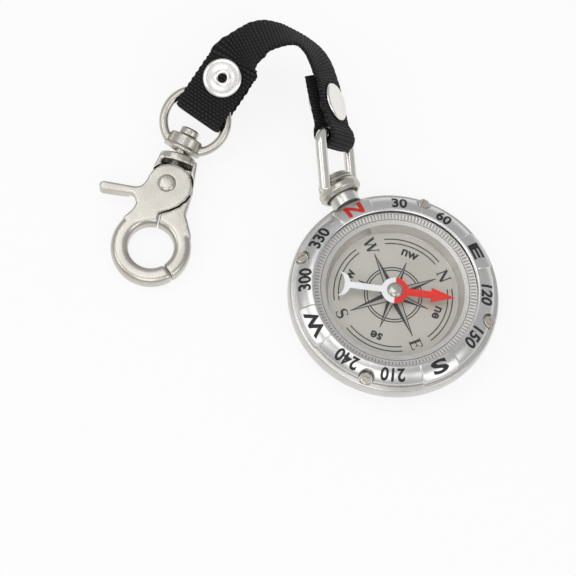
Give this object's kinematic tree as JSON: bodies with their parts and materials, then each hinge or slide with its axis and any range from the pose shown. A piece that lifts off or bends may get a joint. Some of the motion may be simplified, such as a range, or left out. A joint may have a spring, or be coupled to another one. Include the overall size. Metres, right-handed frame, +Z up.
{
  "type": "compass keychain",
  "caption": "Pocket compass with a rotating needle under a crystal, a swivelling crown and bow, a folded webbing strap closed by press studs, and a trigger snap hook.",
  "frame": {"origin": "centre of the case's flat back, on the needle's axis, where the compass lies on a table", "axes": "+Z up out of the dial, +Y along the neck towards the crown, +X to the right of the neck"},
  "size_m": [0.0806, 0.0987, 0.0239],
  "materials": {
    "satin_metal": "satin nickel",
    "bright_metal": "bright nickel",
    "dial_face": "silvered, printed",
    "chapter_face": "silvered, printed",
    "gasket_rubber": "matt",
    "crystal_clear": "clear",
    "needle_paint": "red and white paint",
    "webbing": "ribbed black webbing"
  },
  "bodies": {
    "case": {"case_ring": "satin_metal", "back_cover": "satin_metal", "dial": "dial_face", "chapter_ring": "chapter_face", "crystal_gasket": "gasket_rubber", "crystal": "crystal_clear", "bezel": "satin_metal", "bezel_screw_1": "bright_metal", "bezel_screw_2": "bright_metal", "bezel_screw_3": "bright_metal", "bezel_screw_4": "bright_metal", "needle_pivot": "bright_metal", "crown_pin": "satin_metal"},
    "needle": {"needle": "needle_paint", "needle_cap": "bright_metal"},
    "crown": {"crown": "satin_metal", "crown_button": "satin_metal"},
    "bow": {"bow": "satin_metal"},
    "strap": {"strap": "webbing", "eye_snap_cap": "bright_metal", "eye_snap_socket": "bright_metal", "eye_snap_stud": "bright_metal", "eye_snap_post": "bright_metal", "bow_snap_cap": "bright_metal", "bow_snap_socket": "bright_metal", "bow_snap_stud": "bright_metal", "bow_snap_post": "bright_metal"},
    "eye": {"swivel_eye": "satin_metal"},
    "hook": {"hook_body": "satin_metal", "trigger_rivet": "bright_metal", "trigger_spring": "bright_metal", "swivel_stud": "bright_metal"},
    "trigger": {"trigger": "satin_metal"}
  },
  "joints": [
    {"name": "needle_turn", "type": "hinge", "parent": "case", "child": "needle", "pos_m": [0, 0, 0.0085], "axis": [0, 0, 1], "continuous": true},
    {"name": "crown_swivel", "type": "hinge", "parent": "case", "child": "crown", "pos_m": [0, 0.0286, 0.008], "axis": [0, 1, 0], "continuous": true},
    {"name": "bow_tilt", "type": "hinge", "parent": "crown", "child": "bow", "pos_m": [0, 0.0286, 0.008], "axis": [0.5878, 0, -0.809], "range_deg": [-30, 60]},
    {"name": "strap_swing", "type": "hinge", "parent": "bow", "child": "strap", "pos_m": [0.00453, 0.04077, 0.01129], "axis": [0.5878, 0, -0.809], "range_deg": [-30, 30]},
    {"name": "eye_slide", "type": "hinge", "parent": "strap", "child": "eye", "pos_m": [-0.02318, 0.05941, 0.00732], "axis": [-0.2351, -0.1993, 0.9513], "range_deg": [-30, 30]},
    {"name": "hook_swivel", "type": "hinge", "parent": "eye", "child": "hook", "pos_m": [-0.03022, 0.0539, 0.00442], "axis": [0.7497, 0.5858, 0.308], "continuous": true},
    {"name": "trigger_pull", "type": "hinge", "parent": "hook", "child": "trigger", "pos_m": [-0.03605, 0.04813, 0.00391], "axis": [0.0413, 0.0473, -0.998], "range_deg": [0, 24], "stiffness_Nm_per_rad": 0.05, "springref_deg": -34.38}
  ]
}
